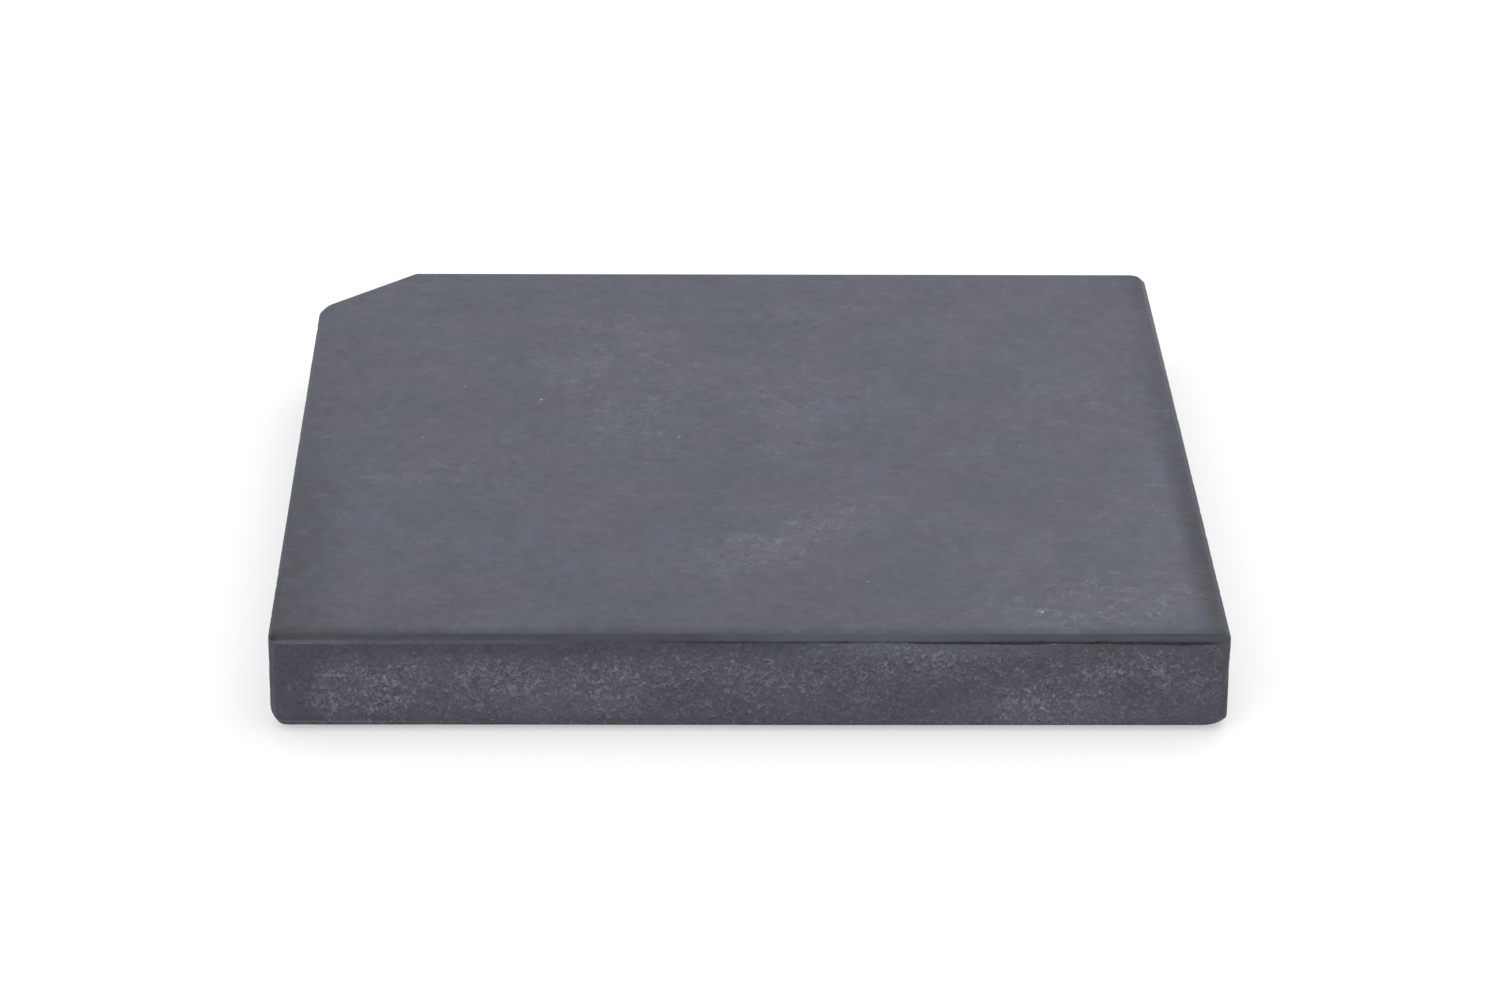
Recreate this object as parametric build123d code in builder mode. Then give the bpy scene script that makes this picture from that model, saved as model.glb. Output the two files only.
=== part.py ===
"""Granite slab: a square stone plate with one corner cut off, on four stick-on rubber feet.

The stone is one sawn piece. Its top is honed flat, its sides are left rough, and every edge is
eased with a small flat bevel so that it doesn't chip. The plate has no mechanism. Each foot is a
moulded rubber disc held to the sawn underside by a disc of double-sided foam tape, so the stone
neither slips on a bench nor scratches it.

Frame, in millimetres: the origin is at the middle of the plate's footprint, on the surface that
it stands on. +Z is up, +X is to the right along the front side, and +Y points to the back. The
cut corner is the back left one.
"""

from build123d import *
import os

# Stone
SIDE = 450.0  # width and depth over the side faces
STONE_THICKNESS = 47.0
CUT_LEG = 49.0  # length that the cut takes off each of the two sides it joins
TOP_BEVEL = 2.8  # leg of the 45 degree bevel around the top
BOTTOM_BEVEL = 1.6  # leg of the one around the underside

# Rounding of the upright edges, seen from above
FRONT_LEFT_RADIUS = 6.0
FRONT_RIGHT_RADIUS = 5.0
BACK_RIGHT_RADIUS = 8.5
CUT_BACK_RADIUS = 6.0
CUT_LEFT_RADIUS = 18.0

# Feet
FOOT_RADIUS = 20.0
FOOT_INSET = 50.0  # from each side face to the middle of the foot
RUBBER_THICKNESS = 2.4
RUBBER_RIM_ROUND = 0.6
GROOVE_RADII = (7.0, 13.0)  # the middle of each ring groove in the tread
GROOVE_WIDTH = 1.2
GROOVE_DEPTH = 0.8
TAPE_THICKNESS = 0.6
TAPE_RADIUS = FOOT_RADIUS - 1.0

HALF_SIDE = SIDE / 2
STONE_BOTTOM = RUBBER_THICKNESS + TAPE_THICKNESS
FOOT_OFFSET = HALF_SIDE - FOOT_INSET

FOOT_PLACES = {
    "front_left": (-FOOT_OFFSET, -FOOT_OFFSET),
    "front_right": (FOOT_OFFSET, -FOOT_OFFSET),
    "back_left": (-FOOT_OFFSET, FOOT_OFFSET),
    "back_right": (FOOT_OFFSET, FOOT_OFFSET),
}


def save(part, name):
    """Labels a finished piece and writes it under that name."""
    part.label = name
    export_step(part, f"parts/{name}.step")


def make_slab():
    """The stone: the square with its cut corner, then the bevels top and bottom."""
    with BuildPart() as slab:
        with BuildSketch(Plane.XY.offset(STONE_BOTTOM)):
            with BuildLine():
                FilletPolyline(
                    (-HALF_SIDE, -HALF_SIDE),
                    (HALF_SIDE, -HALF_SIDE),
                    (HALF_SIDE, HALF_SIDE),
                    (-HALF_SIDE + CUT_LEG, HALF_SIDE),
                    (-HALF_SIDE, HALF_SIDE - CUT_LEG),
                    radius=[
                        FRONT_LEFT_RADIUS,
                        FRONT_RIGHT_RADIUS,
                        BACK_RIGHT_RADIUS,
                        CUT_BACK_RADIUS,
                        CUT_LEFT_RADIUS,
                    ],
                    close=True,
                )
            make_face()
        extrude(amount=STONE_THICKNESS)
        chamfer(slab.faces().sort_by(Axis.Z)[-1].edges(), TOP_BEVEL)
        chamfer(slab.faces().sort_by(Axis.Z)[0].edges(), BOTTOM_BEVEL)
    return slab.part


def make_rubber_foot(x, y):
    """A moulded rubber disc with a rounded lower rim and ring grooves in its tread."""
    with BuildPart() as foot:
        with BuildSketch(Plane.XY):
            with Locations((x, y)):
                Circle(FOOT_RADIUS)
        extrude(amount=RUBBER_THICKNESS)
        fillet(foot.edges().sort_by(Axis.Z)[0], RUBBER_RIM_ROUND)
        for radius in GROOVE_RADII:
            with BuildSketch(Plane.XY):
                with Locations((x, y)):
                    Circle(radius + GROOVE_WIDTH / 2)
                    Circle(radius - GROOVE_WIDTH / 2, mode=Mode.SUBTRACT)
            extrude(amount=GROOVE_DEPTH, mode=Mode.SUBTRACT)
    return foot.part


def make_tape_disc(x, y):
    """Double-sided foam tape between the rubber and the stone."""
    with BuildPart() as tape:
        with BuildSketch(Plane.XY.offset(RUBBER_THICKNESS)):
            with Locations((x, y)):
                Circle(TAPE_RADIUS)
        extrude(amount=TAPE_THICKNESS)
    return tape.part


os.makedirs("parts", exist_ok=True)
save(make_slab(), "granite_slab")
for place, (x, y) in FOOT_PLACES.items():
    save(make_rubber_foot(x, y), f"rubber_foot_{place}")
    save(make_tape_disc(x, y), f"adhesive_disc_{place}")
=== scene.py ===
"""Looks of the granite slab: a fine stone mesh over the CAD plate, and finishes for its feet.

The CAD plate is exact but plain, so a dense mesh of the same plate stands for it. Its top and its
bevels are honed smooth, its sides are broken and grainy, its edges are a little worn, and its
underside is sawn. Everything is in metres, in the frame's own axes.
"""

import math

import bpy
from mathutils import Matrix, Vector, geometry, noise


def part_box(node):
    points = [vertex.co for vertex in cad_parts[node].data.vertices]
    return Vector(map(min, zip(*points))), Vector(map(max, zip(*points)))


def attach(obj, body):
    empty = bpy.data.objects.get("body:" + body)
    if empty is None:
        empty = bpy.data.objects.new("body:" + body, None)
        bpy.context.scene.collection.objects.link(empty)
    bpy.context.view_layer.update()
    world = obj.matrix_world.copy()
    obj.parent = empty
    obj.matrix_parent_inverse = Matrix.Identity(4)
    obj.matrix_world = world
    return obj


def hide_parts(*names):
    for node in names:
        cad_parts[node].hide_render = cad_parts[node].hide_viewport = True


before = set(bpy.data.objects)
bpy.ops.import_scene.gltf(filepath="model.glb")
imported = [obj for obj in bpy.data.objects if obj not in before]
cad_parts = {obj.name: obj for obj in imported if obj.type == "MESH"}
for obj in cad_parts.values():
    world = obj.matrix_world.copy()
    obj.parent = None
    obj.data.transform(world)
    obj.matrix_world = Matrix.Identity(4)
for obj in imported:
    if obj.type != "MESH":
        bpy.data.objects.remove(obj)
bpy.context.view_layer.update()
SLAB = "granite_slab"
low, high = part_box(SLAB)

# The plate's plan and edges, as in the CAD
CUT_LEG = 0.049
TOP_BEVEL = 0.0028
BOTTOM_BEVEL = 0.0016
FRONT_LEFT_RADIUS = 0.006
FRONT_RIGHT_RADIUS = 0.005
BACK_RIGHT_RADIUS = 0.0085
CUT_BACK_RADIUS = 0.006
CUT_LEFT_RADIUS = 0.018

# Mesh fineness
COLUMN_SPACING = 0.0012
FEWEST_CORNER_STEPS = 6
SIDE_ROWS = 33
LOWER_BEVEL_ROWS = 6
TOP_GRID = 0.005
BOTTOM_GRID = 0.008
MERGE_DISTANCE = 1e-7
INSIDE_ONLY = 1  # the triangulation's output kind that keeps only what lies inside the ring

# Rows of the top's rim, as (inset, drop below the top)
TOP_RIM = ((0.0042, 0.0), (0.0034, 0.0), (0.0030, 0.00003), (0.00265, 0.0002))

# Rows across the top bevel, as shares of its leg
BEVEL_SHARES = (0.3, 0.55, 0.8)

# Rows at the arris under it, as (inset, further inset in the groove, drop below the arris)
ARRIS_ROWS = (
    (0.00014, 0.0, -0.00014),
    (0.00003, 0.0, 0.00012),
    (0.00006, 0.00065, 0.00035),
    (0.00010, 0.00035, 0.00085),
)

# Rows of the underside's rim, as insets past the lower bevel
LOWER_RIM = (0.0008, 0.0022)

# Material index of each surface, and the first row of faces of the bevel and of the side
TOP, BEVEL, SIDE, UNDERSIDE = range(4)
FIRST_BEVEL_ROW = 2
FIRST_SIDE_ROW = len(TOP_RIM) + len(BEVEL_SHARES) + 1

# The broken side: how deep each kind of unevenness is, and how large along the face
SIDE_SETBACK = 0.00012
WAVE_DEPTH, WAVE_SIZE = 0.00010, 0.03
BUMP_DEPTH, BUMP_SIZE = 0.00010, 0.0045
PIT_DEPTH, PIT_SIZE = 0.00040, 0.006
PIT_SHIFT = Vector((0.3, 0.1, 0.2))
PIT_LEVELS = (0.35, 0.75)  # of the noise, from no pit to a whole one
ARRIS_SHARE = 0.6  # share of the unevenness that the arris follows
SIDE_TOP_DROP = 0.0015  # from the arris to the first row of the broken side
SIDE_END_INSET = 0.0001  # inset of its first and last rows
SIDE_END_FADE = 0.003  # height over which it becomes fully uneven

# The groove. Along the front, by x: where it starts, where it deepens and, at the right, where it ends
GROOVE_STARTS = (-0.055, -0.025)
GROOVE_DEEPENS = (0.080, 0.115)
GROOVE_ENDS = (high.x - 0.002, high.x - 0.012)
GROOVE_LEAST, GROOVE_GAIN, GROOVE_WANDER = 0.45, 0.55, 0.25
GROOVE_WANDER_SIZE = 0.05
GROOVE_LEVELS = (0.0, 0.4)  # of the noise, from none to all of it, on the other sides

# Wear of the lower bevel: wider on the left and where it is chipped, and narrower on the front
LEFT_WEAR = 0.0046
LEFT_WEAR_ALONG = (low.y + 0.045, low.y + 0.008)
CHIP_DEPTH, CHIP_SIZE = 0.0002, 0.02
CHIP_LEVELS = (0.3, 0.8)  # of the noise, from no chip to a whole one
CHIP_PLANE = 0.5  # height at which the chips' noise is read
FRONT_KEPT = 0.0005
FRONT_KEPT_ALONG = (-0.16, 0.04)
FRONT_KEPT_INWARD = (low.y + 0.02, low.y)

# Extra rounding of the lower front corners, and the heights over the underside at which it comes in
LEFT_ROUNDING = 0.003
LEFT_ROUNDING_LIFT = (0.012, 0.001)
SMALLEST_RADIUS = 0.001  # that is left of the left corner once a point is drawn in
RIGHT_ROUNDING = 0.0095
RIGHT_ROUNDING_SHIFT = 0.0077
RIGHT_ROUNDING_LIFT = (0.0042, 0.0003)

# Camera: it looks down on the front side from far off, a little to the left of the middle
CAMERA_PLACE = (-0.0483, -2.2501, 1.0558)
CAMERA_PITCH = math.radians(24.795)
CAMERA_YAW = math.radians(-1.337)
CAMERA_ROLL = math.radians(0.619)
CAMERA_LENS = 116.52
SENSOR_WIDTH = 36.0

# Studio
FLOOR_REACH = 8.0
FLOOR_GREY = (0.55, 0.55, 0.55, 1)
FLOOR_GLOW = 0.45
WHITE = (1, 1, 1, 1)
HORIZON = (0.02, 0.40)  # sine of the elevation, between which the sky brightens
SKY_STRENGTH = (0.30, 0.95)
SOFTBOXES = (  # name, place, width, power
    ("back_softbox", (0.8, 0.9, 2.2), 2.4, 16.0),
    ("front_softbox", (-0.9, -2.2, 1.5), 1.5, 16.0),
)


# ---------------------------------------------------------------- stone shape


def ramp(value, start, end):
    """0 before start, 1 after end, and a smooth rise in between. start may be above end."""
    t = min(max((value - start) / (end - start), 0.0), 1.0)
    return t * t * (3 - 2 * t)


def rounded_plan():
    """Points round the plan, anticlockwise, each as (x, y, outward normal x, outward normal y)."""
    corners = [
        (Vector((low.x, low.y)), FRONT_LEFT_RADIUS),
        (Vector((high.x, low.y)), FRONT_RIGHT_RADIUS),
        (Vector((high.x, high.y)), BACK_RIGHT_RADIUS),
        (Vector((low.x + CUT_LEG, high.y)), CUT_BACK_RADIUS),
        (Vector((low.x, high.y - CUT_LEG)), CUT_LEFT_RADIUS),
    ]
    columns = []
    for i, (corner, radius) in enumerate(corners):
        before = corners[i - 1][0]
        after, next_radius = corners[(i + 1) % len(corners)]
        beyond = corners[(i + 2) % len(corners)][0]
        arriving = (corner - before).normalized()
        leaving = (after - corner).normalized()
        turn = arriving.angle_signed(leaving) * -1
        next_turn = leaving.angle_signed((beyond - after).normalized()) * -1
        tangent = radius * math.tan(turn / 2)
        normal = Vector((arriving.y, -arriving.x))
        centre = corner - arriving * tangent - normal * radius
        steps = max(FEWEST_CORNER_STEPS, round(radius * turn / COLUMN_SPACING))
        for k in range(steps + 1):
            n = Matrix.Rotation(turn * k / steps, 2) @ normal
            columns.append((*(centre + n * radius), *n))
        start = corner + leaving * tangent
        end = after - leaving * next_radius * math.tan(next_turn / 2)
        n = Vector((leaving.y, -leaving.x))
        steps = round((end - start).length / COLUMN_SPACING)
        for k in range(1, steps):
            columns.append((*start.lerp(end, k / steps), *n))
    return columns


def grain(place, size, octaves=3):
    """Fractal noise of about -1 to 1 with features of that size."""
    return noise.fractal(place / size, 1.0, 2.0, octaves, noise_basis="PERLIN_ORIGINAL")


def side_depth(place):
    """How far the broken side lies inside the CAD face: slow waves, grain and small pits."""
    waves = SIDE_SETBACK + WAVE_DEPTH * grain(place, WAVE_SIZE, 2)
    bumps = BUMP_DEPTH * grain(place, BUMP_SIZE, 3)
    pits = PIT_DEPTH * ramp(grain(place + PIT_SHIFT, PIT_SIZE, 2), *PIT_LEVELS)
    return max(waves + bumps + pits, 0.0)


def undercut(x, y):
    """How strongly the saw left a groove just below the top bevel: most on the right of the front."""
    wander = grain(Vector((x, y, 0.0)), GROOVE_WANDER_SIZE, 2)
    if y < low.y + FRONT_LEFT_RADIUS:
        strength = GROOVE_LEAST + GROOVE_GAIN * ramp(x, *GROOVE_DEEPENS) + GROOVE_WANDER * wander
        return strength * ramp(x, *GROOVE_STARTS) * ramp(x, *GROOVE_ENDS)
    return ramp(wander, *GROOVE_LEVELS)


def lower_wear(x, y):
    """How much wider than the CAD's the lower bevel is here: most on the left, beside the front."""
    beside_corner = min((y - low.y) / FRONT_LEFT_RADIUS, 1.0) * ramp(y, *LEFT_WEAR_ALONG)
    chips = ramp(grain(Vector((x, y, CHIP_PLANE)), CHIP_SIZE, 2), *CHIP_LEVELS)
    kept = ramp(x, *FRONT_KEPT_ALONG) * ramp(y, *FRONT_KEPT_INWARD)
    return LEFT_WEAR * beside_corner * ramp(x, 0.0, low.x) + CHIP_DEPTH * chips - FRONT_KEPT * kept


def profile(x, y):
    """One column's points from the top to the underside, as (inset, height)."""
    def depth_at(height):
        return side_depth(Vector((x, y, height)))

    depth = depth_at(high.z - TOP_BEVEL) * ARRIS_SHARE
    arris = high.z - TOP_BEVEL + depth
    groove = undercut(x, y)
    points = [(inset, high.z - drop) for inset, drop in TOP_RIM]
    for share in BEVEL_SHARES:
        inset = TOP_BEVEL + (depth - TOP_BEVEL) * share
        points.append((inset, high.z - TOP_BEVEL + inset))
    for inset, further, drop in ARRIS_ROWS:
        points.append((depth + inset + further * groove, arris - drop))
    leg = BOTTOM_BEVEL + lower_wear(x, y)
    first, last = arris - SIDE_TOP_DROP, low.z + leg
    for k in range(SIDE_ROWS):
        height = first + (last - first) * k / (SIDE_ROWS - 1)
        uneven = ramp(first - height, 0.0, SIDE_END_FADE) * ramp(height - last, 0.0, SIDE_END_FADE)
        points.append((SIDE_END_INSET + (depth_at(height) - SIDE_END_INSET) * uneven, height))
    for k in range(1, LOWER_BEVEL_ROWS + 1):
        share = k / LOWER_BEVEL_ROWS
        flat = (leg * share, leg * (1 - share))
        angle = share * math.pi / 2
        round_ = (leg * (1 - math.cos(angle)), leg * (1 - math.sin(angle)))
        inset = SIDE_END_INSET * (1 - share) + (flat[0] + round_[0]) / 2
        points.append((inset, low.z + (flat[1] + round_[1]) / 2))
    points += [(leg + inset, low.z) for inset in LOWER_RIM]
    return points


def drawn_in(x, y, nx, ny, inset, lift):
    """A plan point drawn in by inset. Low down, the front corners are rounded off further."""
    radius = FRONT_LEFT_RADIUS + LEFT_ROUNDING * ramp(lift, *LEFT_ROUNDING_LIFT)
    radius = max(radius, inset + SMALLEST_RADIUS)
    centre = Vector((low.x + radius, low.y + radius))
    outward = Vector((x, y)) - centre
    if outward.x < 0 and outward.y < 0:
        return centre + outward.normalized() * (radius - inset)
    point = Vector((x - nx * inset, y - ny * inset))
    worn = ramp(lift, *RIGHT_ROUNDING_LIFT)
    radius = FRONT_RIGHT_RADIUS + RIGHT_ROUNDING * worn
    centre = Vector((high.x - FRONT_RIGHT_RADIUS - RIGHT_ROUNDING_SHIFT * worn, low.y + radius))
    outward = point - centre
    if outward.x > 0 and outward.y < 0 and outward.length > radius - inset:
        point = centre + outward.normalized() * (radius - inset)
    return point


def shell_rings(columns):
    """Every ring of points round the stone, from the top ring to the underside one."""
    lines = []
    for x, y, nx, ny in columns:
        line = []
        for inset, height in profile(x, y):
            line.append((*drawn_in(x, y, nx, ny, inset, height - low.z), height))
        lines.append(line)
    return list(zip(*lines))


def fill(ring, spacing, up):
    """Triangles inside a ring, over a grid of new points: (new points, triangles by index)."""
    loop = [Vector(p[:2]) for p in ring]
    start = Vector((min(p.x for p in loop), min(p.y for p in loop)))
    size = Vector((max(p.x for p in loop), max(p.y for p in loop))) - start
    across, along = round(size.x / spacing), round(size.y / spacing)
    cut_line = high.y - CUT_LEG - low.x  # y less x, along the cut corner's face
    rim = start.x - low.x
    inner = []
    for i in range(1, across):
        for j in range(1, along):
            x, y = start.x + size.x * i / across, start.y + size.y * j / along
            if (cut_line - y + x) / math.sqrt(2) > rim + spacing / 2:
                inner.append(Vector((x, y)))
    edges = [(i, (i + 1) % len(loop)) for i in range(len(loop))]
    made = geometry.delaunay_2d_cdt(loop + inner, edges, [], INSIDE_ONLY, MERGE_DISTANCE)
    sources = [source[0] for source in made[3]]
    faces = [tuple(sources[v] for v in triangle) for triangle in made[2]]
    if not up:
        faces = [face[::-1] for face in faces]
    return [(p.x, p.y, ring[0][2]) for p in inner], faces


def stone_mesh():
    """The whole stone as one closed mesh, with each face's material index set."""
    rings = shell_rings(rounded_plan())
    count = len(rings[0])
    last_ring = len(rings) - 1
    points = [p for ring in rings for p in ring]
    faces, kinds = [], []
    for row in range(last_ring):
        if row < FIRST_BEVEL_ROW:
            kind = TOP
        elif row < FIRST_SIDE_ROW:
            kind = BEVEL
        elif row < last_ring - len(LOWER_RIM):
            kind = SIDE
        else:
            kind = UNDERSIDE
        top, bottom = row * count, (row + 1) * count
        for i in range(count):
            j = (i + 1) % count
            faces.append((top + i, bottom + i, bottom + j, top + j))
            kinds.append(kind)
    for ring_index, spacing, kind in ((0, TOP_GRID, TOP), (last_ring, BOTTOM_GRID, UNDERSIDE)):
        inner, triangles = fill(rings[ring_index], spacing, up=kind == TOP)
        base, extra = ring_index * count, len(points) - count
        for face in triangles:
            faces.append(tuple(base + v if v < count else extra + v for v in face))
            kinds.append(kind)
        points += inner
    mesh = bpy.data.meshes.new("stone")
    mesh.from_pydata(points, [], faces)
    mesh.polygons.foreach_set("material_index", kinds)
    mesh.polygons.foreach_set("use_smooth", [True] * len(faces))
    mesh.update()
    return mesh


# ---------------------------------------------------------------- materials


class Shade:
    """One procedural material. Each method adds nodes and returns the socket that they give."""

    COLOUR_A, COLOUR_B, COLOUR_OUT = 6, 7, 2  # sockets of a Mix node that mixes colours
    NOISE_MIDDLE, NOISE_LOW, NOISE_HIGH = 0.5, 0.3, 0.7  # noise's middle and usual limits

    def __init__(self, name, roughness):
        self.material = bpy.data.materials.new(name)
        self.material.use_nodes = True
        self.tree = self.material.node_tree
        self.shader = self.tree.nodes["Principled BSDF"]
        self.shader.inputs["Roughness"].default_value = roughness
        self.place = self.add("ShaderNodeTexCoord").outputs["Object"]
        self.axes = self.add("ShaderNodeSeparateXYZ")
        self.feed(self.axes.inputs[0], self.place)

    def add(self, kind, **settings):
        node = self.tree.nodes.new(kind)
        for name, value in settings.items():
            setattr(node, name, value)
        return node

    def feed(self, socket, value):
        """Links a socket, or sets a plain number, vector or colour."""
        if isinstance(value, bpy.types.NodeSocket):
            self.tree.links.new(value, socket)
        elif socket.type == "RGBA":
            socket.default_value = (*value, 1)
        else:
            socket.default_value = value

    def axis(self, name):
        return self.axes.outputs[name]

    def maths(self, operation, a, b=0.0, clamp=False):
        node = self.add("ShaderNodeMath", operation=operation, use_clamp=clamp)
        self.feed(node.inputs[0], a)
        self.feed(node.inputs[1], b)
        return node.outputs[0]

    def vector_maths(self, operation, a, b):
        node = self.add("ShaderNodeVectorMath", operation=operation)
        self.feed(node.inputs[0], a)
        self.feed(node.inputs[1], b)
        return node.outputs["Vector"]

    def total(self, *values):
        result = values[0]
        for value in values[1:]:
            result = self.maths("ADD", result, value)
        return result

    def times(self, *values):
        result = values[0]
        for value in values[1:]:
            result = self.maths("MULTIPLY", result, value)
        return result

    def opposite(self, share):
        return self.maths("SUBTRACT", 1.0, share)

    def distance(self, value, middle):
        return self.maths("ABSOLUTE", self.maths("SUBTRACT", value, middle))

    def rise(self, value, start, end, low_value=0.0, high_value=1.0):
        """A smooth change from low_value at start to high_value at end. start may be above end."""
        node = self.add("ShaderNodeMapRange", interpolation_type="SMOOTHSTEP")
        self.feed(node.inputs["Value"], value)
        node.inputs["From Min"].default_value = start
        node.inputs["From Max"].default_value = end
        node.inputs["To Min"].default_value = low_value
        node.inputs["To Max"].default_value = high_value
        return node.outputs["Result"]

    def swing(self, noise, amount):
        """Noise, made to swing between -amount and amount."""
        return self.rise(noise, self.NOISE_LOW, self.NOISE_HIGH, -amount, amount)

    def moved(self, offset=(0, 0, 0), turn=0.0, scale=(1, 1, 1)):
        """The place, scaled, turned about Z by that many radians, and moved."""
        node = self.add("ShaderNodeMapping")
        self.feed(node.inputs["Vector"], self.place)
        node.inputs["Location"].default_value = offset
        node.inputs["Rotation"].default_value = (0, 0, turn)
        node.inputs["Scale"].default_value = scale
        return node.outputs["Vector"]

    def noise_node(self, size, detail, roughness=0.5, distortion=0.0, place=None):
        node = self.add("ShaderNodeTexNoise")
        self.feed(node.inputs["Vector"], place or self.place)
        node.inputs["Scale"].default_value = 1 / size
        node.inputs["Detail"].default_value = detail
        node.inputs["Roughness"].default_value = roughness
        node.inputs["Distortion"].default_value = distortion
        return node

    def noise(self, size, detail=2.0, roughness=0.5, distortion=0.0, place=None):
        return self.noise_node(size, detail, roughness, distortion, place).outputs["Fac"]

    def warped(self, size, amount):
        """The place, pushed about by noise of that size, so that round spots come out ragged."""
        noise = self.noise_node(size, detail=1.0).outputs["Color"]
        middle = (self.NOISE_MIDDLE, self.NOISE_MIDDLE, self.NOISE_MIDDLE)
        push = self.scaled(self.vector_maths("SUBTRACT", noise, middle), amount)
        return self.vector_maths("ADD", self.place, push)

    def crystals(self, size, density, reach, place=None):
        """Small spots, one in each of a share (density) of the cells of that size."""
        node = self.add("ShaderNodeTexVoronoi")
        self.feed(node.inputs["Vector"], place or self.place)
        node.inputs["Scale"].default_value = 1 / size
        split = self.add("ShaderNodeSeparateColor")
        self.feed(split.inputs[0], node.outputs["Color"])
        chosen = self.rise(self.maths("ADD", split.outputs[0], density), 0.98, 1.10)
        return self.times(chosen, self.rise(node.outputs["Distance"], reach, reach * 0.6))

    def veins(self, size, width, detail=2.0, distortion=0.6):
        """Thin curved lines, where noise of that size crosses its middle value."""
        level = self.noise(size, detail, distortion=distortion)
        return self.rise(self.distance(level, self.NOISE_MIDDLE), width, width * 0.2)

    def patch(self, centre, reach, turn=0, softness=0.6):
        """1 in the middle of an ellipsoid, and 0 outside it. turn is about Z, in degrees."""
        angle = math.radians(-turn)
        turned_centre = Matrix.Rotation(angle, 3, "Z") @ Vector(centre)
        away = self.vector_maths("SUBTRACT", self.moved(turn=angle), turned_centre)
        length = self.add("ShaderNodeVectorMath", operation="LENGTH")
        self.feed(length.inputs[0], self.vector_maths("DIVIDE", away, reach))
        return self.rise(length.outputs["Value"], 1.0, 1.0 - softness)

    def top_patch(self, x, y, across, along, turn=0, softness=0.6):
        return self.patch((x, y, high.z), (across, along, THROUGH), turn, softness)

    def front_patch(self, x, height, across, tall, softness):
        return self.patch((x, low.y, low.z + height), (across, FRONT_REACH, tall), 0, softness)

    def blend(self, first, second, share):
        node = self.add("ShaderNodeMix", data_type="RGBA")
        self.feed(node.inputs["Factor"], share)
        self.feed(node.inputs[self.COLOUR_A], first)
        self.feed(node.inputs[self.COLOUR_B], second)
        return node.outputs[self.COLOUR_OUT]

    def scaled(self, vector, factor):
        node = self.add("ShaderNodeVectorMath", operation="SCALE")
        self.feed(node.inputs[0], vector)
        self.feed(node.inputs["Scale"], factor)
        return node.outputs[0]

    def colour(self, base, brightness=1.0, dust_and_highlight_colour=(0, 0, 0), dust=0.0):
        """Paints the base colour at that brightness, with that much of a second colour added to it: dust
        and pale crystals, and painted highlights.
        """
        painted = self.vector_maths("ADD", self.scaled(base, brightness), self.scaled(dust_and_highlight_colour, dust))
        self.feed(self.shader.inputs["Base Color"], painted)

    def bump(self, height, distance):
        node = self.add("ShaderNodeBump")
        node.inputs["Strength"].default_value = 1.0
        node.inputs["Distance"].default_value = distance
        self.feed(node.inputs["Height"], height)
        self.feed(self.shader.inputs["Normal"], node.outputs["Normal"])


# Reach of a patch right through the stone, and of one on the front into it
THROUGH = 1.0
FRONT_REACH = 0.05

# Colours, as linear red, green and blue
BLUE_GREY = (0.0425, 0.0520, 0.0795)
PURPLE_GREY = (0.0500, 0.0507, 0.0785)
OLIVE_GREY = (0.0520, 0.0560, 0.0740)
EDGE_GREY = (0.0330, 0.0430, 0.0730)
RIGHT_EDGE_GREY = (0.0270, 0.0370, 0.1000)
TOP_DUST = (0.0495, 0.0540, 0.0660)
SIDE_GREY = (0.0375, 0.0372, 0.0550)
SIDE_BLUE = (0.0345, 0.0380, 0.0565)
BEVEL_GREY = (0.0390, 0.0450, 0.0600)
SIDE_DUST_AND_HIGHLIGHT = (0.0590, 0.0600, 0.0732)
RUBBER_BLACK = (0.013, 0.013, 0.014)
RUBBER_DUST = (0.045, 0.044, 0.043)
FOAM_GREY = (0.46, 0.45, 0.41)
FOAM_WHITE = (0.62, 0.61, 0.57)

# Lighter dusty patches on the top: centre x and y, reach across and along, turn, strength
HAZE_SOFTNESS = 0.85
TOP_HAZE = (
    (0.165, -0.192, 0.085, 0.042, 15, 0.9),
    (0.185, -0.130, 0.050, 0.090, 0, 0.15),
    (0.015, -0.120, 0.090, 0.032, 45, 0.9),
    (0.031, 0.042, 0.055, 0.075, 0, 0.5),
    (0.048, 0.166, 0.045, 0.013, 18, 0.5),
    (-0.055, 0.010, 0.045, 0.050, 0, 0.25),
    (0.175, 0.050, 0.045, 0.070, 0, 0.2),
    (0.190, -0.070, 0.040, 0.045, 0, 0.2),
    (-0.145, -0.035, 0.045, 0.030, 30, 0.25),
)

# White pinpricks on the top: x, y and strength
PRICK_SIZE = (0.0011, 0.0013)
TOP_PRICKS = (
    (-0.103, 0.050, 0.8),
    (-0.032, 0.003, 0.6),
    (0.138, -0.199, 1.0),
    (-0.143, 0.067, 0.4),
    (-0.162, 0.002, 0.35),
    (0.141, -0.007, 0.35),
    (0.057, -0.166, 0.45),
)

# Clusters of pale crystals on the front: centre x, height over the underside, reaches, strength
CLUSTER_SOFTNESS = 0.75
FRONT_CLUSTERS = (
    (-0.186, 0.019, 0.038, 0.019, 1.0),
    (-0.150, 0.022, 0.045, 0.022, 0.5),
    (-0.112, 0.022, 0.036, 0.019, 1.0),
    (-0.070, 0.021, 0.036, 0.020, 0.95),
    (-0.020, 0.026, 0.060, 0.026, 0.5),
    (0.040, 0.026, 0.060, 0.026, 0.5),
    (0.075, 0.034, 0.032, 0.014, 0.6),
    (0.105, 0.032, 0.034, 0.016, 0.4),
    (0.132, 0.014, 0.030, 0.016, 0.8),
    (0.150, 0.008, 0.050, 0.014, 0.6),
    (0.153, 0.027, 0.034, 0.016, 0.5),
    (0.180, 0.030, 0.026, 0.013, 0.9),
    (0.205, 0.022, 0.026, 0.018, 0.7),
)

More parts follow.
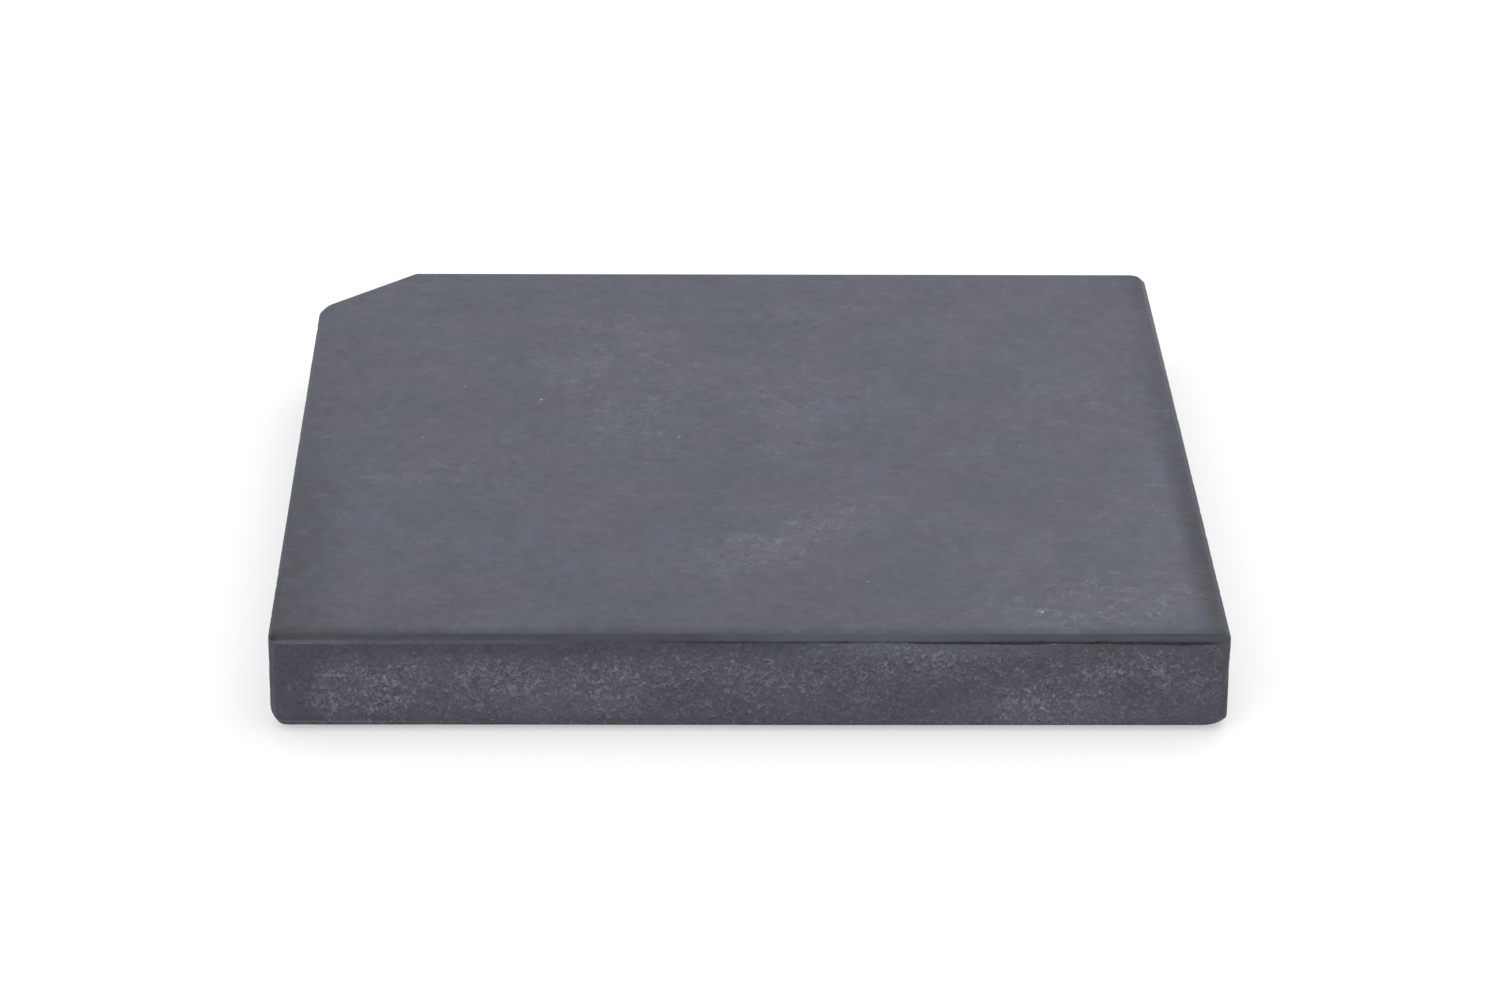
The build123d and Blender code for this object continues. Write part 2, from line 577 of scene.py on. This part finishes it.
# Lighter dusty patches on the front, in the same form
FRONT_HAZE_SOFTNESS = 0.7
FRONT_HAZE = (
    (0.085, 0.042, 0.085, 0.011, 1.7),
    (0.140, 0.008, 0.080, 0.014, 1.0),
    (-0.085, 0.013, 0.040, 0.014, 1.0),
)

# How the painted highlight along a side bevel lightens from front to back, in steps: y from, y to, light
# from, to
LEFT_BEVEL_STEPS = (
    (-0.215, -0.100, -0.26, 0.02),
    (-0.100, 0.010, 0.0, 0.43),
    (0.0, 0.130, 0.0, 0.15),
)
RIGHT_BEVEL_STEPS = (
    (-0.200, -0.130, 0.05, 0.34),
    (-0.080, 0.060, 0.0, 0.15),
    (0.030, 0.140, 0.0, 0.50),
)


def honed_top():
    """Matt honed stone: cloudy blue and purple greys, dusty patches, wisps and pinpricks."""
    s = Shade("honed_top", roughness=0.42)
    x, y = s.axis("X"), s.axis("Y")

    veined = s.top_patch(-0.065, 0.085, 0.060, 0.110, softness=0.8)
    purple = s.rise(s.noise(0.055, 3, 0.6), 0.40, 0.60)
    olive = s.rise(s.noise(0.018, 3, 0.6, place=s.moved((0.3, 0.9, 0))), 0.4, 0.6)
    by_front = s.rise(y, low.y + 0.012, low.y + 0.003)
    by_left = s.times(s.rise(x, low.x + 0.030, low.x + 0.006, 0.0, 0.6), s.rise(y, 0.05, -0.10))
    by_right = s.rise(x, high.x - 0.018, high.x - 0.005)
    base = s.blend(BLUE_GREY, PURPLE_GREY, purple)
    base = s.blend(base, OLIVE_GREY, s.times(veined, olive))
    # Darker, bluer greys at the front, left and right edges: the colour of the edge bands below, which
    # are partly wear and partly painted shade
    base = s.blend(base, EDGE_GREY, s.maths("MAXIMUM", by_front, by_left))
    base = s.blend(base, RIGHT_EDGE_GREY, s.times(by_right, s.rise(y, 0.10, -0.10, 0.35, 1.0)))

    haze = s.total(
        s.times(veined, 0.45),
        *(s.times(s.top_patch(*shape, HAZE_SOFTNESS), strength) for *shape, strength in TOP_HAZE),
    )
    wisps = s.times(
        s.veins(0.010, 0.045, 3, 1.5),
        s.rise(s.noise(0.012, place=s.moved((0.1, 0.7, 0))), 0.48, 0.60),
    )
    ragged = s.warped(0.004, 0.004)
    flecks = s.crystals(0.0026, s.total(s.times(haze, 0.40), 0.05), 0.55, ragged)
    pores = s.crystals(0.0040, s.total(s.times(haze, 0.30), 0.05), 0.40, ragged)
    pricks = s.total(
        s.times(s.crystals(0.013, 0.04, 0.06), 1.2),
        *(s.times(s.top_patch(*place, *PRICK_SIZE), strength * 4) for *place, strength in TOP_PRICKS),
    )

    clouds = s.total(
        s.swing(s.noise(0.045, 3, 0.55, place=s.moved((0.4, 0.2, 0))), 0.082),
        s.swing(s.noise(0.014, place=s.moved((0.8, 0.5, 0))), 0.042),
    )
    mottle = s.swing(s.noise(0.006, 4, 0.65), 0.15)
    # Darker towards the front, left and right edges and over the front towards the left: partly wear,
    # and partly painted shade where the slightly rounded edges and the front catch less sheen
    left_band = s.rise(x, low.x + 0.040, low.x + 0.004, 0.0, -0.42)
    right_band = s.rise(x, high.x - 0.030, high.x - 0.010, 0.0, -0.08)
    front_band = s.rise(y, low.y + 0.10, low.y + 0.02)
    worn = s.total(
        s.times(left_band, s.rise(y, 0.125, -0.175, 0.2, 1.0)),
        s.times(
            by_right,
            s.rise(y, 0.10, -0.12, -0.24, -0.76),
            s.rise(y, low.y + 0.030, low.y + 0.006, 1.0, 0.55),
        ),
        s.times(right_band, s.rise(y, 0.0, 0.1)),
        s.times(s.top_patch(-0.045, low.y, 0.06, 0.03, softness=0.8), -0.12),
        s.times(s.rise(x, 0.20, 0.0, -0.05, -0.10), front_band),
        s.times(by_front, -0.38),
        s.rise(y, low.y + 0.006, low.y + 0.003, 0.0, -0.10),
    )
    brightness = s.total(0.938, clouds, mottle, worn, s.times(pores, -0.35))
    dust = s.total(
        s.times(haze, s.rise(s.noise(0.009, 3, 0.6), 0.35, 0.65, 0.12, 0.34)),
        s.times(flecks, 0.32),
        s.times(wisps, s.total(s.times(haze, 0.75), 0.30)),
        pricks,
    )
    s.colour(base, brightness, TOP_DUST, dust)
    s.bump(s.total(flecks, s.times(wisps, 0.5)), distance=0.00003)
    return s.material


def light_arris(s):
    """How light the arris is along the front, partly from wear and partly as a painted highlight: most
    at the left end, and not past a third.
    """
    x = s.axis("X")
    return s.times(
        s.rise(x, low.x + 0.155, low.x + 0.105),
        s.rise(x, low.x + 0.060, low.x + 0.006, 0.55, 1.0),
        s.rise(x, low.x + 0.002, low.x + 0.004),
    )


def honed_bevel():
    """The top bevels: the same stone ground by hand, a little darker, and dull from handling."""
    s = Shade("honed_bevel", roughness=0.55)
    s.shader.inputs["Specular IOR Level"].default_value = 0.35
    x, y, z = s.axis("X"), s.axis("Y"), s.axis("Z")

    on_side = s.rise(s.maths("ABSOLUTE", x), high.x - 0.006, high.x - 0.003)
    on_front = s.opposite(on_side)
    to_right = s.rise(x, -0.1, 0.1)
    lowest = s.rise(z, high.z - 0.0018, high.z - 0.0024)
    highest = s.rise(z, high.z - 0.0010, high.z - 0.0003)
    corner = s.patch((low.x, low.y, high.z - 0.002), (0.005, 0.005, 0.01))

    mottle = s.swing(s.noise(0.012, 4, 0.65, place=s.moved(scale=(0.5, 0.5, 1))), 0.14)
    along_front = s.total(
        s.rise(x, -0.02, 0.02, -0.17, 0.0),
        s.times(s.patch((0.045, low.y, high.z), (0.10, 0.02, 0.02), softness=0.8), 0.25),
        s.rise(x, high.x - 0.04, high.x - 0.01, 0.0, 0.10),
    )
    brightness = s.total(
        1.0,
        mottle,
        s.times(along_front, on_front),
        s.times(corner, -0.45),
        s.times(s.rise(x, 0.150, 0.195), highest, on_front, -0.35),
        # Painted shade along the foot of the front bevel, from a little left of the middle to the right
        # end
        s.times(lowest, on_front, s.rise(x, -0.12, -0.02, 0.0, -0.15)),
    )

    along_left = s.total(*(s.rise(y, *step) for step in LEFT_BEVEL_STEPS))
    along_right = s.total(*(s.rise(y, *step) for step in RIGHT_BEVEL_STEPS))
    along_side = s.total(s.times(along_left, s.opposite(to_right)), s.times(along_right, to_right))
    # Painted highlight along the side bevels, and a lighter foot of the front bevel at the left that is
    # partly wear and partly painted highlight
    rubbed_and_highlit = s.total(
        s.times(lowest, on_front, light_arris(s), 0.50),
        s.times(along_side, on_side, 0.75),
    )
    s.colour(BEVEL_GREY, brightness, SIDE_DUST_AND_HIGHLIGHT, rubbed_and_highlit)
    s.bump(s.noise(0.002, 3, 0.6), distance=0.00004)
    return s.material


def worn_and_highlit_lines(s, on_front, by_front):
    """Light lines along the edges, partly worn stone and partly painted highlight: under the arris, by
    the left upright edge and by the lower one.
    """
    x, z = s.axis("X"), s.axis("Z")
    arris = high.z - TOP_BEVEL
    under_arris = s.times(on_front, s.rise(z, arris - 0.0015, arris - 0.0008), light_arris(s))
    upright = s.times(
        by_front,
        s.rise(s.distance(x, low.x + 0.0022), 0.0009, 0.0003),
        s.rise(z, high.z - 0.010, low.z + 0.010, 0.3, 1.0),
    )
    lower = s.times(
        on_front,
        s.rise(s.distance(z, low.z + 0.0024), 0.0008, 0.0002),
        s.rise(x, -0.12, -0.19),
    )
    return s.total(s.times(under_arris, 0.80), s.times(upright, 0.35), s.times(lower, 0.50))


def groove_shadow_line(s, on_front):
    """Painted shadow in the groove under the arris, which thickens to the right and ends in a wedge."""
    x, z = s.axis("X"), s.axis("Z")
    arris = high.z - TOP_BEVEL
    thickness = s.total(
        s.rise(x, 0.060, 0.110, 0.0, 0.0005),
        s.rise(x, 0.150, 0.205, 0.0, 0.0006),
        s.swing(s.noise(0.03, 1), 0.0003),
    )
    wedge = s.times(s.rise(x, 0.160, 0.205), s.rise(z, arris - 0.0007, arris - 0.0002))
    return s.times(
        on_front,
        s.opposite(s.times(wedge, 0.7)),
        s.rise(x, -0.060, -0.020),
        s.rise(x, high.x - 0.004, high.x - 0.014),
        s.rise(s.total(z, thickness), arris - 0.0010, arris - 0.0005),
    )


def front_patches(s, rows, softness):
    """Soft patches on the front, added up. A row has x, height, two reaches and a strength."""
    return s.total(*(
        s.times(s.front_patch(*shape, softness), strength) for *shape, strength in rows
    ))


def rough_side():
    """Broken stone: dark, with pale crystals in clusters and pits between them that are darkened as
    painted shade.
    """
    s = Shade("rough_side", roughness=0.62)
    x, y, z = s.axis("X"), s.axis("Y"), s.axis("Z")
    base = s.blend(SIDE_GREY, SIDE_BLUE, s.rise(s.noise(0.03, 3, 0.6), 0.48, 0.70))
    on_front = s.rise(y, low.y + 0.006, low.y + 0.003)
    by_front = s.rise(y, low.y + 0.010, low.y + 0.006)

    # Where the crystals are: in clusters, and thinly all over but for the top and the left end
    clusters = front_patches(s, FRONT_CLUSTERS, CLUSTER_SOFTNESS)
    elsewhere_place = s.moved((0.2, 0.1, 0.3), scale=(1, 1, 1.6))
    elsewhere = s.rise(s.noise(0.035, 3, 0.55, place=elsewhere_place), 0.36, 0.66)
    density = s.times(
        s.total(s.times(clusters, on_front), s.times(elsewhere, s.opposite(on_front), 0.85)),
        s.rise(s.noise(0.010, 3, 0.6, 0.4), 0.35, 0.60, 0.45, 1.0),
    )
    plain_end = s.times(on_front, s.rise(x, low.x + 0.030, low.x + 0.014))
    upper_limit = s.total(z, s.rise(x, 0.0, 0.06, 0.0, -0.010))
    everywhere = s.times(
        s.rise(upper_limit, high.z - 0.006, high.z - 0.014),
        s.opposite(plain_end),
    )

    # The crystals themselves: grains, specks with a painted shadow under each, and curls
    ragged = s.warped(0.0035, 0.0040)
    coarse = s.crystals(0.0028, s.times(density, 0.33), 0.55, ragged)
    fine_density = s.total(s.times(density, 0.50), s.times(everywhere, 0.20))
    fine = s.crystals(0.0017, fine_density, 0.60, ragged)
    grainy = s.opposite(s.times(plain_end, 0.9))
    level = s.noise(0.0024, 2, 0.68, 0.6)
    # Painted shadow just under each speck, from the same noise read 0.9 mm higher
    level_above = s.noise(0.0024, 2, 0.68, 0.6, place=s.moved((0, 0, 0.0009)))
    lift = s.total(s.times(density, 0.085), s.times(everywhere, 0.03))
    specks = s.times(s.rise(s.total(level, lift), 0.64, 0.68), grainy)
    speck_shadows = s.times(
        s.rise(s.total(level_above, lift), 0.62, 0.67),
        s.maths("SUBTRACT", grainy, specks, clamp=True),
    )
    broken = s.rise(s.noise(0.005, place=s.moved((0.7, 0.2, 0.4))), 0.42, 0.58)
    curls = s.times(s.veins(0.0034, 0.060, 2, 1.2), broken)
    pits = s.rise(level, 0.46, 0.36)

    # Painted shadow in the groove under the arris: it darkens the stone there and hides the pale dust
    groove = groove_shadow_line(s, on_front)
    outside_groove_shadow = s.opposite(groove)
    # Pale crystals and dust, and the light lines along the edges, which are partly wear and partly
    # painted highlight
    dust = s.total(
        s.times(coarse, 0.70),
        s.times(fine, 0.55),
        s.times(specks, 0.70),
        s.times(curls, s.total(s.times(density, 0.65), s.times(everywhere, 0.40))),
        s.times(density, 0.16),
        s.times(everywhere, 0.16),
        s.times(front_patches(s, FRONT_HAZE, FRONT_HAZE_SOFTNESS), on_front, 0.18),
        worn_and_highlit_lines(s, on_front, by_front),
    )
    # Painted shade: on the lower bevel all round, low on the front mostly left of the middle, and at the
    # front's left and right upright edges
    shaded = s.total(
        s.times(on_front, s.rise(z, low.z + 0.007, low.z + 0.003), s.rise(x, 0.09, -0.03, 0.0, -0.16)),
        s.rise(z, low.z + 0.0018, low.z + 0.0010, 0.0, -0.45),
        s.times(by_front, s.rise(x, low.x + 0.0014, low.x + 0.0006, 0.0, -0.40)),
        s.times(by_front, s.rise(x, high.x - 0.005, high.x - 0.001, 0.0, -0.20)),
    )
    brightness = s.total(
        1.0,
        s.swing(s.noise(0.022, 3, 0.6), 0.12),
        shaded,
        # Painted shade in the pits, deeper where the crystals cluster
        s.times(pits, s.total(s.times(density, -0.30), -0.20)),
        s.times(speck_shadows, -0.40),
    )
    brightness = s.times(brightness, s.opposite(s.times(groove, 0.75)))
    s.colour(base, brightness, SIDE_DUST_AND_HIGHLIGHT, s.times(dust, outside_groove_shadow))
    height = s.total(
        s.times(specks, 0.8),
        coarse,
        s.times(fine, 0.5),
        s.times(curls, 0.5),
        s.times(pits, -0.7),
    )
    s.bump(height, distance=0.00035)
    return s.material


def sawn_underside():
    """Sawn stone: shallow curved saw marks over the same mottled grey."""
    s = Shade("sawn_underside", roughness=0.7)
    base = s.blend(SIDE_GREY, SIDE_BLUE, s.rise(s.noise(0.05, 3, 0.6), 0.35, 0.65))
    marks = s.add("ShaderNodeTexWave", wave_type="RINGS", rings_direction="SPHERICAL")
    s.feed(marks.inputs["Vector"], s.moved((0.55, 0.2, 0)))
    marks.inputs["Scale"].default_value = 60.0
    marks.inputs["Distortion"].default_value = 1.5
    marks.inputs["Detail"].default_value = 3.0
    saw_mark = marks.outputs["Fac"]
    mottle = s.rise(s.noise(0.004, 4, 0.65), s.NOISE_LOW, s.NOISE_HIGH, -0.15, 0.2)
    lines = s.rise(saw_mark, 0.2, 0.9, -0.14, 0.18)
    s.colour(base, s.total(1.20, mottle, lines))
    s.bump(s.total(s.times(saw_mark, 0.6), s.noise(0.0015, 3, 0.6)), distance=0.00015)
    return s.material


def foot_rubber():
    """Moulded black rubber: slightly dusty, with a fine matt mould texture."""
    s = Shade("foot_rubber", roughness=0.75)
    dust = s.rise(s.noise(0.006, 4, 0.6), 0.45, 0.75)
    s.colour(s.blend(RUBBER_BLACK, RUBBER_DUST, dust))
    s.bump(s.noise(0.0006, 3, 0.6), distance=0.00005)
    return s.material


def tape_foam():
    """Off-white closed-cell foam tape."""
    s = Shade("tape_foam", roughness=0.85)
    cells = s.noise(0.0005)
    s.colour(s.blend(FOAM_GREY, FOAM_WHITE, s.rise(cells, 0.35, 0.65)))
    s.bump(cells, distance=0.00008)
    return s.material


# ---------------------------------------------------------------- the pieces

stone = bpy.data.objects.new("stone_slab", stone_mesh())
bpy.context.scene.collection.objects.link(stone)
for make_finish in (honed_top, honed_bevel, rough_side, sawn_underside):
    stone.data.materials.append(make_finish())
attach(stone, "root")
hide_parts(SLAB)

finishes = {"rubber_foot": foot_rubber(), "adhesive_disc": tape_foam()}
for node_name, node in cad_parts.items():
    for prefix, finish in finishes.items():
        if node_name.startswith(prefix):
            for material_slot in node.material_slots:
                material_slot.material = finish


# ---------------------------------------------------------------- studio


def make_floor():
    """A wide pale floor, which glows a little as a lit sweep does."""
    mesh = bpy.data.meshes.new("floor")
    signs = ((-1, -1), (1, -1), (1, 1), (-1, 1))
    corners = [(FLOOR_REACH * across, FLOOR_REACH * along, 0) for across, along in signs]
    mesh.from_pydata(corners, [], [(0, 1, 2, 3)])
    floor = bpy.data.objects.new("floor", mesh)
    bpy.context.scene.collection.objects.link(floor)
    paper = bpy.data.materials.new("floor_paper")
    paper.use_nodes = True
    shader = paper.node_tree.nodes["Principled BSDF"]
    shader.inputs["Base Color"].default_value = FLOOR_GREY
    shader.inputs["Roughness"].default_value = 0.9
    shader.inputs["Specular IOR Level"].default_value = 0.2
    shader.inputs["Emission Color"].default_value = WHITE
    shader.inputs["Emission Strength"].default_value = FLOOR_GLOW
    mesh.materials.append(paper)


def make_world():
    """White light from above and all round, dimmer towards the horizon."""
    world = bpy.data.worlds.new("studio")
    world.use_nodes = True
    nodes, links = world.node_tree.nodes, world.node_tree.links
    direction = nodes.new("ShaderNodeTexCoord")
    split = nodes.new("ShaderNodeSeparateXYZ")
    links.new(direction.outputs["Generated"], split.inputs[0])
    glow = nodes.new("ShaderNodeMapRange")
    glow.interpolation_type = "SMOOTHSTEP"
    links.new(split.outputs["Z"], glow.inputs["Value"])
    glow.inputs["From Min"].default_value, glow.inputs["From Max"].default_value = HORIZON
    glow.inputs["To Min"].default_value, glow.inputs["To Max"].default_value = SKY_STRENGTH
    links.new(glow.outputs["Result"], nodes["Background"].inputs["Strength"])
    nodes["Background"].inputs["Color"].default_value = WHITE
    bpy.context.scene.world = world


def make_softbox(name, place, size, power):
    """A square area light that faces the slab."""
    light = bpy.data.lights.new(name, "AREA")
    light.shape = "SQUARE"
    light.size = size
    light.energy = power
    softbox = bpy.data.objects.new(name, light)
    bpy.context.scene.collection.objects.link(softbox)
    softbox.location = place
    aim = Vector((0, 0, high.z)) - Vector(place)
    softbox.rotation_euler = aim.to_track_quat("-Z", "Y").to_euler()


def make_camera():
    """A long lens, far off, so that the slab's sides converge only a little."""
    lens = bpy.data.cameras.new("camera")
    lens.lens = CAMERA_LENS
    lens.sensor_width = SENSOR_WIDTH
    camera = bpy.data.objects.new("camera", lens)
    bpy.context.scene.collection.objects.link(camera)
    turn = (
        Matrix.Rotation(CAMERA_YAW, 4, "Z")
        @ Matrix.Rotation(math.pi / 2 - CAMERA_PITCH, 4, "X")
        @ Matrix.Rotation(CAMERA_ROLL, 4, "Z")
    )
    camera.matrix_world = Matrix.Translation(CAMERA_PLACE) @ turn
    bpy.context.scene.camera = camera


make_floor()
make_world()
for softbox_row in SOFTBOXES:
    make_softbox(*softbox_row)
make_camera()
bpy.context.scene.view_settings.view_transform = "Standard"
